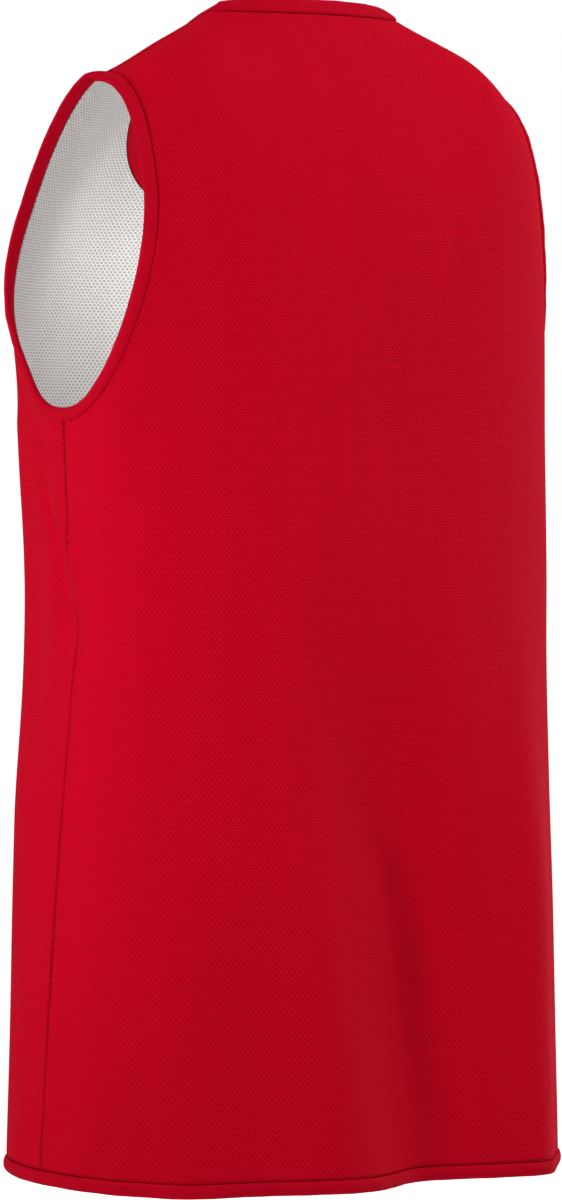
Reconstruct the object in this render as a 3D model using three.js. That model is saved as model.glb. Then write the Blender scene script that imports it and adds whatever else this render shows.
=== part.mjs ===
// A sleeveless basketball jersey of two layers, filled out as it is worn but with no wearer.
// Millimetres. +X is the wearer's left, -Y the front and +Z up. The origin lies midway between
// the two neck points of the shoulder line, where the wearer's shoulders hold the garment up.
// An angle goes round the body: 0 is the centre back, 90 the wearer's left side, 180 the centre
// front and 270 the wearer's right side.

import * as THREE from "three";

// Cut of the body
const ARMPIT_Z = -274; // where the armhole seams meet the side seams
const BACK_HEM_Z = -782; // lower edge of the hem, so also the length from the neck points
const FRONT_HEM_LIFT = 12; // how much higher the hem is at the front
const HEM_RISES = { from: 45, to: 135 }; // angles between which it gets there
const SHOULDER_SLOPE = 24.6; // degrees that the shoulder seam drops towards the arm
const SHOULDER_TIP_X = 168; // outer end of the shoulder seam
const SHOULDER_DROOP = 5; // how far the seam bends down at that end

// Cut of the neck
const NECK_HALF_WIDTH = 83; // from the centre to the neck point
const FRONT_NECK_DROP = 122; // depth of the scoop, down to the seam
const FRONT_NECK_ROUNDNESS = 2.2; // 2 is an ellipse, more is squarer

// Cut of the armholes: half widths are angles round the body, on each side of the side seam
const ARMHOLE_WIDEST_Z = -122;
const ARMHOLE_ROUNDNESS = 1.65; // 2 is an ellipse, less is more pointed at the armpit
const BACK_ARMHOLE_HALF_WIDTH = 34;
const FRONT_ARMHOLE_HALF_WIDTH = 35;

// The shoulder line, which goes on over the neck as a crown that the neck seam cuts off. It lies
// behind the middle of the body by these distances.
const CROWN_HEIGHT = 24;
const CROWN_POWER = 1.8;
const LINE_BEHIND = { neck: 18, shoulder: 20 };
const SHOULDER_MIDDLE_X = 125;
const ARM_LEANING_X = 56; // from here on out the leaning turns into that at the arm

// How the cloth leans in from the armpits up to the shoulder line. Two in each row are an
// ellipse. More fullness keeps it upright for longer, and less roundness makes a sharper line.
const LEANING = {
  middle: { fullness: 3.2, roundness: 1.3 },
  backArm: { fullness: 4, roundness: 2.5 },
  frontArm: { fullness: 1.3, roundness: 1.5 },
};

// The front gets flatter up to the shoulders: it has this squareness from a share of the way up
const UPPER_FRONT = { squareness: 5, share: 0.6 };

// Cloth and bands, with each layer's faces as heights over the form
const OUTER_CLOTH = { outside: 0, inside: -1.2 };
const LINING_CLOTH = { outside: -1.5, inside: -2.7 };
const BAND_CLOTH = { outside: 0.5, inside: -3.2 };
const NECK_BAND_WIDTH = 13.5;
const ARMHOLE_BAND_WIDTH = 9;
const HEM_BAND_WIDTH = 9;
// Degrees that the armhole's band flares out at the front, and the shares of the way up to the
// shoulder between which it does so in full
const ARMHOLE_FLARE = { angle: 28, from: 0.55, to: 0.9 };
const BAND_ROUNDING = 1.2;
const SEAM_GAP = 0.3;

// Grid of each panel. The columns at each end of the top row lie on the shoulder seams.
const SHOULDER_COLUMNS = 3;
const NECK_COLUMNS = 16;
const COLUMNS = NECK_COLUMNS + 2 * SHOULDER_COLUMNS;
const ARMHOLE_CURVE_ROWS = 8; // from the armpit to the widest height of the armhole
const ARMHOLE_TOP_ROWS = 7; // from there to the shoulder
const UPPER_ROWS = ARMHOLE_CURVE_ROWS + ARMHOLE_TOP_ROWS;
const LOWER_ROWS = 14; // from the hem seam up to the armpit
const TOP_ROW = LOWER_ROWS + UPPER_ROWS;
const EDGE_PULL = 1.6; // power at which the columns stop following the armhole's curve

// Sections of the filled-out body, from the armpit to the hem
const SECTIONS = [
  { z: -274, halfWidth: 198, frontDepth: 126, backDepth: 110, squareness: 2.8 },
  { z: -373, halfWidth: 198, frontDepth: 117, backDepth: 116, squareness: 2.7 },
  { z: -437, halfWidth: 199, frontDepth: 118, backDepth: 118, squareness: 2.6 },
  { z: -517, halfWidth: 203, frontDepth: 119, backDepth: 120, squareness: 2.5 },
  { z: -597, halfWidth: 206, frontDepth: 121, backDepth: 123, squareness: 2.45 },
  { z: -677, halfWidth: 209, frontDepth: 122, backDepth: 124, squareness: 2.4 },
  { z: -782, halfWidth: 213, frontDepth: 127, backDepth: 128, squareness: 2.3 },
];

// Side seams: how far each one strays round the body towards the back
const SIDE_SEAMS = [
  { z: -274, left: 0, right: 0 },
  { z: -357, left: 5, right: 3 },
  { z: -437, left: 10, right: 6 },
  { z: -527, left: 7, right: 5 },
  { z: -600, left: 2, right: 3 },
  { z: -677, left: -2, right: 1 },
  { z: -782, left: -5, right: -2 },
];

// Folds, each straight from its upper to its lower end. A trough has a depth below zero and a
// ridge one above it. An end below the hem means that the fold runs off the cloth there. It
// grows to its full depth, and fades out again, over these shares of its length.
const FOLD_FULL = { from: 0.4, to: 0.7 };
const FOLDS = [
  { topAngle: 16, topZ: -340, endAngle: -26, endZ: -960, halfWidth: 34, depth: -11 },
  { topAngle: 30, topZ: -460, endAngle: -2, endZ: -960, halfWidth: 30, depth: 5 },
  { topAngle: -30, topZ: -360, endAngle: -38, endZ: -960, halfWidth: 26, depth: 6 },
  { topAngle: 103, topZ: -255, endAngle: 84, endZ: -460, halfWidth: 14, depth: -6 },
  { topAngle: 116, topZ: -140, endAngle: 104, endZ: -540, halfWidth: 34, depth: -12 },
];

const radians = THREE.MathUtils.degToRad;
const degrees = THREE.MathUtils.radToDeg;
const { lerp, clamp, smoothstep } = THREE.MathUtils;

// A smooth curve through four values in a row, between the middle two
function throughFour(before, start, end, after, t) {
  const slopeIn = (end - before) / 2;
  const slopeOut = (after - start) / 2;
  const squared = t * t;
  const cubed = squared * t;
  return (
    start * (2 * cubed - 3 * squared + 1) +
    slopeIn * (cubed - 2 * squared + t) +
    end * (3 * squared - 2 * cubed) +
    slopeOut * (cubed - squared)
  );
}

// A table's columns at a height, where the rows go down from the highest
function tableAt(rows, z) {
  let i = 0;
  while (i < rows.length - 2 && z < rows[i + 1].z) i += 1;
  const start = rows[i];
  const end = rows[i + 1];
  const before = rows[Math.max(i - 1, 0)];
  const after = rows[Math.min(i + 2, rows.length - 1)];
  const t = clamp((z - start.z) / (end.z - start.z), 0, 1);
  const values = {};
  for (const key of Object.keys(start)) {
    values[key] = throughFour(before[key], start[key], end[key], after[key], t);
  }
  return values;
}

function signedPower(value, power) {
  return Math.sign(value) * Math.abs(value) ** power;
}

// The point of a body section at an angle
function sectionPoint(section, angle) {
  const sine = Math.sin(radians(angle));
  const cosine = Math.cos(radians(angle));
  const power = 2 / section.squareness;
  const depth = cosine >= 0 ? section.backDepth : section.frontDepth;
  const x = section.halfWidth * signedPower(sine, power);
  const y = depth * signedPower(cosine, power);
  return new THREE.Vector2(x, y);
}

// The way straight out of a body section at an angle
function sectionOutwards(section, angle) {
  const along = sectionPoint(section, angle + 0.5).sub(sectionPoint(section, angle - 0.5));
  return new THREE.Vector2(-along.y, along.x).normalize();
}

const CHEST = tableAt(SECTIONS, ARMPIT_Z);

function shoulderLine(x) {
  const across = Math.abs(x);
  const crown = CROWN_HEIGHT * (1 - (across / NECK_HALF_WIDTH) ** CROWN_POWER);
  const droop = SHOULDER_DROOP * smoothstep(across, SHOULDER_MIDDLE_X, SHOULDER_TIP_X);
  const slope = (NECK_HALF_WIDTH - across) * Math.tan(radians(SHOULDER_SLOPE)) - droop;
  const outwards = smoothstep(across, NECK_HALF_WIDTH, SHOULDER_MIDDLE_X);
  const behind = lerp(LINE_BEHIND.neck, LINE_BEHIND.shoulder, outwards);
  const fade = 1 - smoothstep(across, SHOULDER_MIDDLE_X, CHEST.halfWidth);
  return { y: behind * fade, z: across < NECK_HALF_WIDTH ? crown : slope };
}

// A point above the armpits, where lift goes from 0 at the armpits to 90 on the shoulder line
function shoulderPoint(angle, lift) {
  const share = Math.sin(radians(lift));
  const foot = sectionPoint(CHEST, angle);
  if (foot.y < 0) {
    const flatter = smoothstep(share, 0, UPPER_FRONT.share);
    const squareness = lerp(CHEST.squareness, UPPER_FRONT.squareness, flatter);
    const inwards = Math.max(1 - (Math.abs(foot.x) / CHEST.halfWidth) ** squareness, 0);
    foot.y = -CHEST.frontDepth * inwards ** (1 / squareness);
  }
  const top = shoulderLine(foot.x);
  const outwards = smoothstep(Math.abs(foot.x), ARM_LEANING_X, SHOULDER_TIP_X);
  const arm = foot.y > 0 ? LEANING.backArm : LEANING.frontArm;
  const fullness = lerp(LEANING.middle.fullness, arm.fullness, outwards);
  const roundness = lerp(LEANING.middle.roundness, arm.roundness, outwards);
  const out = Math.max(1 - share ** fullness, 0) ** (1 / roundness);
  return new THREE.Vector3(foot.x, lerp(top.y, foot.y, out), lerp(ARMPIT_Z, top.z, share));
}

// The lift at which the cloth at an angle reaches a height
function liftAt(angle, z) {
  const top = shoulderLine(sectionPoint(CHEST, angle).x);
  return degrees(Math.asin(clamp((z - ARMPIT_Z) / (top.z - ARMPIT_Z), 0, 1)));
}

// How far a fold moves the cloth in or out at a point
function foldDepth(fold, section, point) {
  const along = (point.z - fold.topZ) / (fold.endZ - fold.topZ);
  if (along <= 0 || along >= 1) return 0;
  const middle = sectionPoint(section, lerp(fold.topAngle, fold.endAngle, along));
  const across = middle.distanceTo(new THREE.Vector2(point.x, point.y)) / fold.halfWidth;
  const fade = smoothstep(along, 0, FOLD_FULL.from) * (1 - smoothstep(along, FOLD_FULL.to, 1));
  return fold.depth * fade * Math.exp(-across * across);
}

// A point of the cloth with its folds. Its level is a lift in degrees above the armpits and a
// drop in millimetres below them, and a lift over 90 goes on down the other side.
function clothPoint(angle, level) {
  if (level > 90) return clothPoint(180 - angle, 180 - level);
  let section = CHEST;
  let point;
  if (level > 0) {
    point = shoulderPoint(angle, level);
  } else {
    section = tableAt(SECTIONS, ARMPIT_Z + level);
    const { x, y } = sectionPoint(section, angle);
    point = new THREE.Vector3(x, y, ARMPIT_Z + level);
  }
  const depth = FOLDS.reduce((sum, fold) => sum + foldDepth(fold, section, point), 0);
  const outwards = sectionOutwards(section, angle);
  return point.add(new THREE.Vector3(outwards.x * depth, outwards.y * depth, 0));
}

// The cloth at an angle and a level, with the way straight out of it
function clothStation(angle, level) {
  const step = 0.4;
  const upwards = clothPoint(angle, level + step).sub(clothPoint(angle, level - step));
  const around = clothPoint(angle + step, level).sub(clothPoint(angle - step, level));
  return { point: clothPoint(angle, level), normal: upwards.cross(around).normalize() };
}

// Angles that part a half of the chest section into columns of one length, from -90 to 90
function evenColumns(middleAngle) {
  const steps = 360;
  const lengths = [0];
  for (let i = 1; i <= steps; i += 1) {
    const start = sectionPoint(CHEST, middleAngle - 90 + (180 * (i - 1)) / steps);
    const end = sectionPoint(CHEST, middleAngle - 90 + (180 * i) / steps);
    lengths.push(lengths[i - 1] + start.distanceTo(end));
  }
  const angles = [];
  for (let column = 0; column <= COLUMNS; column += 1) {
    const wanted = (lengths[steps] * column) / COLUMNS;
    const i = clamp(lengths.findIndex((length) => length >= wanted), 1, steps);
    const part = (wanted - lengths[i - 1]) / (lengths[i] - lengths[i - 1]);
    angles.push((180 * (i - 1 + part)) / steps - 90);
  }
  return angles;
}

// The angle from a panel's middle at which the chest section has a given distance across
function offsetAtX(x) {
  const sine = signedPower(x / CHEST.halfWidth, CHEST.squareness / 2);
  return degrees(Math.asin(clamp(sine, -1, 1)));
}

// The armhole's seam from the armpit to the shoulder tip, as angles from the panel's middle and
// as lifts
function armholeSeam(panel) {
  const seam = [];
  const tipOffset = offsetAtX(SHOULDER_TIP_X);
  const power = 2 / ARMHOLE_ROUNDNESS;
  for (let row = 0; row <= ARMHOLE_CURVE_ROWS; row += 1) {
    const turn = radians((90 * row) / ARMHOLE_CURVE_ROWS);
    const offset = 90 - panel.armholeHalfWidth * Math.sin(turn) ** power;
    const z = lerp(ARMHOLE_WIDEST_Z, ARMPIT_Z, Math.max(Math.cos(turn), 0) ** power);
    seam.push({ offset, lift: liftAt(panel.middle + offset, z) });
  }
  const widest = seam[ARMHOLE_CURVE_ROWS];
  for (let row = 1; row <= ARMHOLE_TOP_ROWS; row += 1) {
    const share = row / ARMHOLE_TOP_ROWS;
    const offset = lerp(widest.offset, tipOffset, share * share);
    seam.push({ offset, lift: lerp(widest.lift, 90, share) });
  }
  return seam;
}

// The panel's top edge: the shoulder seams at both ends and the neck seam between them
function topEdge(panel) {
  const edge = [];
  for (let column = 0; column <= COLUMNS; column += 1) {
    const side = column < COLUMNS / 2 ? -1 : 1;
    const fromEnd = Math.min(column, COLUMNS - column);
    if (fromEnd <= SHOULDER_COLUMNS) {
      const x = lerp(SHOULDER_TIP_X, NECK_HALF_WIDTH, fromEnd / SHOULDER_COLUMNS);
      edge.push({ offset: side * offsetAtX(x), lift: 90 });
      continue;
    }
    const point = panel.neckSeam((column - SHOULDER_COLUMNS) / NECK_COLUMNS);
    const offset = offsetAtX(point.x);
    edge.push({ offset, lift: liftAt(panel.middle + offset, point.z) });
  }
  return edge;
}

function frontNeckSeam(share) {
  const turn = radians(180 * share);
  const power = 2 / FRONT_NECK_ROUNDNESS;
  return {
    x: -NECK_HALF_WIDTH * signedPower(Math.cos(turn), power),
    z: -FRONT_NECK_DROP * Math.sin(turn) ** power,
  };
}

function backNeckSeam(share) {
  const turn = radians(180 * share);
  return { x: -NECK_HALF_WIDTH * Math.cos(turn), z: 0 };
}

// The angle between a side seam and the fullest point of the side
function seamAngle(section, strays) {
  const share = Math.abs(strays) / section.backDepth;
  return Math.sign(strays) * degrees(Math.asin(share ** (section.squareness / 2)));
}

function hemZ(angle) {
  const fromBack = Math.abs(THREE.MathUtils.euclideanModulo(angle + 180, 360) - 180);
  return BACK_HEM_Z + FRONT_HEM_LIFT * smoothstep(fromBack, HEM_RISES.from, HEM_RISES.to);
}

// The panel's form as rows of stations, from the hem seam up to the shoulder and neck seams
function panelForm(panel) {
  const rows = [];
  const columns = evenColumns(panel.middle);
  for (let row = 0; row <= LOWER_ROWS; row += 1) {
    const share = row / LOWER_ROWS;
    const height = lerp(BACK_HEM_Z, ARMPIT_Z, share);
    const section = tableAt(SECTIONS, height);
    const seams = tableAt(SIDE_SEAMS, height);
    const startSeam = seamAngle(section, panel.isBack ? seams.right : -seams.left);
    const endSeam = seamAngle(section, panel.isBack ? seams.left : -seams.right);
    rows.push(
      columns.map((offset) => {
        const shrink = 1 - (offset < 0 ? startSeam : endSeam) / 90;
        const angle = panel.middle + offset * shrink;
        const z = lerp(hemZ(angle) + HEM_BAND_WIDTH, ARMPIT_Z, share);
        return clothStation(angle, z - ARMPIT_Z);
      }),
    );
  }
  const top = topEdge(panel);
  const armhole = armholeSeam(panel);
  for (let row = 1; row <= UPPER_ROWS; row += 1) {
    const share = row / UPPER_ROWS;
    const end = armhole[row];
    const straightOffset = lerp(90, armhole[UPPER_ROWS].offset, share);
    rows.push(
      columns.map((offset, column) => {
        const across = (2 * column) / COLUMNS - 1;
        const pull = Math.abs(across) ** EDGE_PULL;
        const bend = Math.sign(across) * (end.offset - straightOffset) * pull;
        const angle = panel.middle + lerp(offset, top[column].offset, share) + bend;
        const lift = share * top[column].lift + (end.lift - 90 * share) * pull;
        return clothStation(angle, lift);
      }),
    );
  }
  return rows;
}

// The panel's points, moved back from the side and shoulder seams by half of the gap there
function clearOfSeams(rows) {
  const back = (point, neighbour) => {
    const way = neighbour.clone().sub(point).normalize();
    return point.clone().addScaledVector(way, SEAM_GAP / 2);
  };
  return rows.map((stations, row) =>
    stations.map(({ point }, column) => {
      const fromEnd = Math.min(column, COLUMNS - column);
      if (row === TOP_ROW && fromEnd <= SHOULDER_COLUMNS) {
        return back(point, rows[row - 1][column].point);
      }
      if (row > LOWER_ROWS || fromEnd > 0) return point;
      return back(point, stations[column === 0 ? 1 : COLUMNS - 1].point);
    }),
  );
}

function closedMesh(name, points, faces, material) {
  const geometry = new THREE.BufferGeometry();
  geometry.setAttribute(
    "position",
    new THREE.Float32BufferAttribute(points.flatMap((point) => point.toArray()), 3),
  );
  geometry.setIndex(faces.flat());
  geometry.computeVertexNormals();
  const mesh = new THREE.Mesh(geometry, material);
  mesh.name = name;
  return mesh;
}

// One layer of cloth over a panel's form
function clothPanel(name, form, cloth, material) {
  const rows = clearOfSeams(form);
  const layer = (height) =>
    rows.flatMap((points, row) =>
      points.map((point, column) =>
        point.clone().addScaledVector(form[row][column].normal, height),
      ),
    );
  const across = COLUMNS + 1;
  const inner = rows.length * across;
  const faces = [];
  for (let row = 0; row < TOP_ROW; row += 1) {
    for (let column = 0; column < COLUMNS; column += 1) {
      const a = row * across + column;
      const b = a + across;
      faces.push([a, b, b + 1], [a, b + 1, a + 1]);
      faces.push([inner + a, inner + b + 1, inner + b]);
      faces.push([inner + a, inner + a + 1, inner + b + 1]);
    }
  }
  const rim = [];
  for (let row = 0; row < TOP_ROW; row += 1) rim.push(row * across);
  for (let column = 0; column < COLUMNS; column += 1) rim.push(TOP_ROW * across + column);
  for (let row = TOP_ROW; row > 0; row -= 1) rim.push(row * across + COLUMNS);
  for (let column = COLUMNS; column > 0; column -= 1) rim.push(column);
  rim.forEach((start, i) => {
    const end = rim[(i + 1) % rim.length];
    faces.push([end, start, inner + start], [end, inner + start, inner + end]);
  });
  return closedMesh(name, [...layer(cloth.outside), ...layer(cloth.inside)], faces, material);
}

// A band's cross-section: how far it lies from the seam, and its height over the form
function bandSection(width) {
  const { outside, inside } = BAND_CLOTH;
  return [
    { away: SEAM_GAP, height: inside + BAND_ROUNDING / 2 },
    { away: SEAM_GAP + BAND_ROUNDING, height: inside },
    { away: width - BAND_ROUNDING, height: inside },
    { away: width, height: inside + BAND_ROUNDING },
    { away: width, height: outside - BAND_ROUNDING },
    { away: width - BAND_ROUNDING, height: outside },
    { away: SEAM_GAP + BAND_ROUNDING, height: outside },
    { away: SEAM_GAP, height: outside - BAND_ROUNDING / 2 },
  ];
}

// A closed band round an opening, along the panels' own edge stations
function edgeBand(name, stations, width, material) {
  const section = bandSection(width);
  const points = stations.flatMap(({ point, normal, flare = 0 }, i) => {
    const next = stations[(i + 1) % stations.length].point;
    const previous = stations[(i + stations.length - 1) % stations.length].point;
    const along = next.clone().sub(previous).normalize();
    const away = normal.clone().cross(along).normalize();
    away.applyAxisAngle(along, radians(flare));
    const up = along.clone().cross(away);
    return section.map((corner) =>
      point.clone().addScaledVector(away, corner.away).addScaledVector(up, corner.height),
    );
  });
  const faces = [];
  stations.forEach((_, i) => {
    const here = i * section.length;
    const there = ((i + 1) % stations.length) * section.length;
    section.forEach((_, k) => {
      const next = (k + 1) % section.length;
      faces.push([here + k, here + next, there + next], [here + k, there + next, there + k]);
    });
  });
  return closedMesh(name, points, faces, material);
}

const backForm = panelForm({
  isBack: true,
  middle: 0,
  armholeHalfWidth: BACK_ARMHOLE_HALF_WIDTH,
  neckSeam: backNeckSeam,
});
const frontForm = panelForm({
  isBack: false,
  middle: 180,
  armholeHalfWidth: FRONT_ARMHOLE_HALF_WIDTH,
  neckSeam: frontNeckSeam,
});

// The edge of an armhole, up one panel and down the other
function armholeStations(rising, falling) {
  const flareAt = (form, row) => {
    if (form !== frontForm) return 0;
    const share = (row - LOWER_ROWS) / UPPER_ROWS;
    const fade = 1 - smoothstep(share, ARMHOLE_FLARE.to, 1);
    return ARMHOLE_FLARE.angle * smoothstep(share, 0, ARMHOLE_FLARE.from) * fade;
  };
  const stations = [];
  for (let row = LOWER_ROWS; row < TOP_ROW; row += 1) {
    stations.push({ ...rising[row][COLUMNS], flare: flareAt(rising, row) });
  }
  for (let row = TOP_ROW; row > LOWER_ROWS; row -= 1) {
    stations.push({ ...falling[row][0], flare: flareAt(falling, row) });
  }
  return stations;
}

function neckStations() {
  const stations = [];
  for (const form of [backForm, frontForm]) {
    for (let column = COLUMNS - SHOULDER_COLUMNS; column > SHOULDER_COLUMNS; column -= 1) {
      stations.push(form[TOP_ROW][column]);
    }
  }
  return stations;
}

function hemStations() {
  return [...backForm[0].slice(0, COLUMNS), ...frontForm[0].slice(0, COLUMNS)];
}

// Finishes
const redMesh = new THREE.MeshStandardMaterial({ color: "#c0142c", roughness: 0.78, metalness: 0 });
const whiteMesh = new THREE.MeshStandardMaterial({ color: "#e4e0dc", roughness: 0.85, metalness: 0 });
const redBand = new THREE.MeshStandardMaterial({ color: "#b01026", roughness: 0.7, metalness: 0 });

const jersey = new THREE.Group();
jersey.add(clothPanel("front_panel", frontForm, OUTER_CLOTH, redMesh));
jersey.add(clothPanel("back_panel", backForm, OUTER_CLOTH, redMesh));
jersey.add(clothPanel("front_lining", frontForm, LINING_CLOTH, whiteMesh));
jersey.add(clothPanel("back_lining", backForm, LINING_CLOTH, whiteMesh));
jersey.add(edgeBand("neck_band", neckStations(), NECK_BAND_WIDTH, redBand));
jersey.add(
  edgeBand(
    "armhole_band_left",
    armholeStations(backForm, frontForm),
    ARMHOLE_BAND_WIDTH,
    redBand,
  ),
);
jersey.add(
  edgeBand(
    "armhole_band_right",
    armholeStations(frontForm, backForm),
    ARMHOLE_BAND_WIDTH,
    redBand,
  ),
);
jersey.add(edgeBand("hem_band", hemStations(), HEM_BAND_WIDTH, redBand));

export default jersey;
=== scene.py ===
"""A sleeveless basketball jersey of two mesh layers, filled out with no wearer in it."""

import bpy
import numpy as np
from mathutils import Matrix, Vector


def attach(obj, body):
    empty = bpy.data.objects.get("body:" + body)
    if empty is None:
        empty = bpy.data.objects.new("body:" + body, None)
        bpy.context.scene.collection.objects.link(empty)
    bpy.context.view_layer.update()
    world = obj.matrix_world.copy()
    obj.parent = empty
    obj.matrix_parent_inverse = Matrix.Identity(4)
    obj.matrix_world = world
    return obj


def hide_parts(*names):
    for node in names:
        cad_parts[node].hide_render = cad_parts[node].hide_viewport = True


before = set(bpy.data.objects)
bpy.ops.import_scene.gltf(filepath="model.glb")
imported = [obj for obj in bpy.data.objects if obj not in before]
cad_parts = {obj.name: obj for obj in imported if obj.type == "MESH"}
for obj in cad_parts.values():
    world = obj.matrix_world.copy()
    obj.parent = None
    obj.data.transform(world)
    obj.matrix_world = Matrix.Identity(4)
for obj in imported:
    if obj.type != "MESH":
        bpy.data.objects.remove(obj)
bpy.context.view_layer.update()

# ---------------------------------------------------------------- camera
PHOTO_WIDTH, PHOTO_HEIGHT = 562, 1200
VIEW_TURN = np.radians(42.0)  # from the wearer's left side towards the back
VIEW_DISTANCE = 5.0
PIXELS_PER_METRE = 1480.0  # at the origin's distance
AXIS_PIXEL = (285.5, 500.0)  # where the middle of the lens looks
AXIS_HEIGHT = -0.326

camera_data = bpy.data.cameras.new("camera")
camera_data.lens = PIXELS_PER_METRE * VIEW_DISTANCE * camera_data.sensor_width / PHOTO_HEIGHT
camera_data.shift_x = -(AXIS_PIXEL[0] - PHOTO_WIDTH / 2) / PHOTO_HEIGHT
camera_data.shift_y = (AXIS_PIXEL[1] - PHOTO_HEIGHT / 2) / PHOTO_HEIGHT
camera = bpy.data.objects.new("camera", camera_data)
bpy.context.collection.objects.link(camera)
towards = Vector((np.sin(VIEW_TURN), np.cos(VIEW_TURN), 0.0))
camera.location = towards * VIEW_DISTANCE + Vector((0, 0, AXIS_HEIGHT))
camera.rotation_euler = towards.to_track_quat("Z", "Y").to_euler()
bpy.context.scene.camera = camera
bpy.context.scene.view_settings.view_transform = "Standard"

# ---------------------------------------------------------------- cut, in millimetres
ARMPIT_Z = -274.0
BACK_HEM_Z = -782.0
FRONT_HEM_LIFT = 12.0
HEM_RISES = (45.0, 135.0)
SHOULDER_SLOPE = 24.6
SHOULDER_TIP_X = 168.0
SHOULDER_DROOP = 5.0
NECK_HALF_WIDTH = 83.0
FRONT_NECK_DROP = 122.0
FRONT_NECK_ROUNDNESS = 2.2
ARMHOLE_WIDEST_Z = -122.0
ARMHOLE_ROUNDNESS = 1.65
BACK_ARMHOLE_HALF_WIDTH = 34.0
FRONT_ARMHOLE_HALF_WIDTH = 35.0
CROWN_HEIGHT = 24.0
CROWN_POWER = 1.8
BEHIND_AT_NECK = 18.0
BEHIND_AT_SHOULDER = 20.0
SHOULDER_MIDDLE_X = 125.0
ARM_LEANING_X = 56.0
MIDDLE_LEANING = (3.2, 1.3)  # fullness, roundness
BACK_ARM_LEANING = (4.0, 2.5)
FRONT_ARM_LEANING = (1.3, 1.5)
UPPER_FRONT = (5.0, 0.6)  # squareness, and the share of the way up at which it is full
OUTER_CLOTH = (0.0, -1.2)
LINING_CLOTH = (-1.5, -2.7)
NECK_BAND_WIDTH = 13.5
ARMHOLE_BAND_WIDTH = 9.0
HEM_BAND_WIDTH = 9.0
ARMHOLE_FLARE = (28.0, 0.55, 0.9)  # degrees, and the shares of the way up between which it is full
SEAM_GAP = 0.3

# The part's own grid, which the finer one here divides
COLUMNS = 22
SHOULDER_COLUMNS = 3
LOWER_ROWS = 14
ARMHOLE_CURVE_ROWS = 8
ARMHOLE_TOP_ROWS = 7
UPPER_ROWS = ARMHOLE_CURVE_ROWS + ARMHOLE_TOP_ROWS
TOP_ROW = LOWER_ROWS + UPPER_ROWS
EDGE_PULL = 1.6

# Height, half width, front depth, back depth, squareness
HALF_WIDTH, FRONT_DEPTH, BACK_DEPTH, SQUARENESS = 1, 2, 3, 4
SECTIONS = np.array([
    (-274, 198, 126, 110, 2.8),
    (-373, 198, 117, 116, 2.7),
    (-437, 199, 118, 118, 2.6),
    (-517, 203, 119, 120, 2.5),
    (-597, 206, 121, 123, 2.45),
    (-677, 209, 122, 124, 2.4),
    (-782, 213, 127, 128, 2.3),
], float)

# Height, and how far the left and right side seams stray towards the back
SIDE_SEAMS = np.array([
    (-274, 0, 0),
    (-357, 5, 3),
    (-437, 10, 6),
    (-527, 7, 5),
    (-600, 2, 3),
    (-677, -2, 1),
    (-782, -5, -2),
], float)

# Top angle and height, end angle and height, half width, and how far it stands out
LARGE_FOLDS = [
    (16, -340, -26, -960, 34, -11),
    (30, -460, -2, -960, 30, 5),
    (-30, -360, -38, -960, 26, 6),
    (103, -255, 84, -460, 14, -6),
    (116, -140, 104, -540, 34, -12),
]
FOLD_FULL = (0.4, 0.7)  # shares of a fold's length at which it has come, and starts to go

# The smaller folds in the same order, each with its own two shares
SMALL_FOLDS = [
    # lower back: the large trough's deepest line, and the soft waves on its left
    (3, -300, -11, -1100, 41, -23, 0.62, 0.9),
    (18, -420, 14, -960, 26, 4, 0.5, 0.9),
    (-32, -400, -34, -960, 24, 5, 0.4, 0.9),
    (34, -560, 30, -960, 26, -5, 0.5, 0.9),
    (50, -600, 47, -960, 20, 3, 0.5, 0.9),
    (64, -600, 61, -960, 22, -4, 0.5, 0.9),
    # soft drape down from the bottom of the left armhole
    (58, -230, 72, -400, 11, -1.6, 0.4, 0.5),
    (66, -250, 64, -640, 13, 1.5, 0.3, 0.4),
    # creases under the left arm
    (112.5, -256, 95.5, -350, 4.6, -5.0, 0.35, 0.8),
    (107, -258, 91, -356, 6.0, 3.8, 0.35, 0.8),
    (99, -300, 88, -430, 4.6, -4.2, 0.3, 0.55),
    (94.5, -300, 82.5, -430, 6.0, 2.4, 0.3, 0.55),
    # ripples by the left side seam's lower end
    (100, -706, 84, -750, 5, -1.0, 0.4, 0.6),
    (104, -722, 88, -766, 5, 0.9, 0.4, 0.6),
    (72, -735, 76, -790, 7, -1.4, 0.5, 0.8),
    (64, -728, 68, -800, 9, 1.0, 0.5, 0.8),
    # streaks by the right hem
    (-46, -700, -40, -785, 3.6, -0.9, 0.5, 0.8),
    (-51, -690, -46, -790, 4.0, 0.9, 0.5, 0.8),
    (-56, -705, -52, -785, 3.4, -0.8, 0.5, 0.8),
    # right side, as on the left
    (-104, -255, -88, -430, 13, -4.0, 0.4, 0.6),
    (-110, -250, -96, -340, 5, -2.2, 0.3, 0.6),
    (-98, -300, -90, -410, 8, 1.8, 0.4, 0.7),
    (-70, -520, -74, -960, 22, 2.4, 0.4, 0.8),
    (-88, -560, -92, -960, 20, -2.6, 0.4, 0.8),
    # front, hidden in the photograph
    (168, -330, 200, -960, 34, -6.0, 0.4, 0.75),
    (150, -380, 176, -960, 26, 3.4, 0.4, 0.75),
    (205, -340, 214, -960, 26, 4.0, 0.4, 0.75),
    (228, -420, 236, -960, 24, -3.6, 0.4, 0.75),
    (136, -560, 132, -960, 20, -2.4, 0.4, 0.8),
    (196, -150, 224, -330, 16, -1.8, 0.4, 0.6),
    (164, -150, 140, -320, 15, -1.6, 0.4, 0.6),
]


def lerp(start, end, t):
    return start + (end - start) * t


def smoothstep(value, start, end):
    t = np.clip((value - start) / (end - start), 0, 1)
    return t * t * (3 - 2 * t)


def signed_power(value, power):
    return np.sign(value) * np.abs(value) ** power


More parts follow.
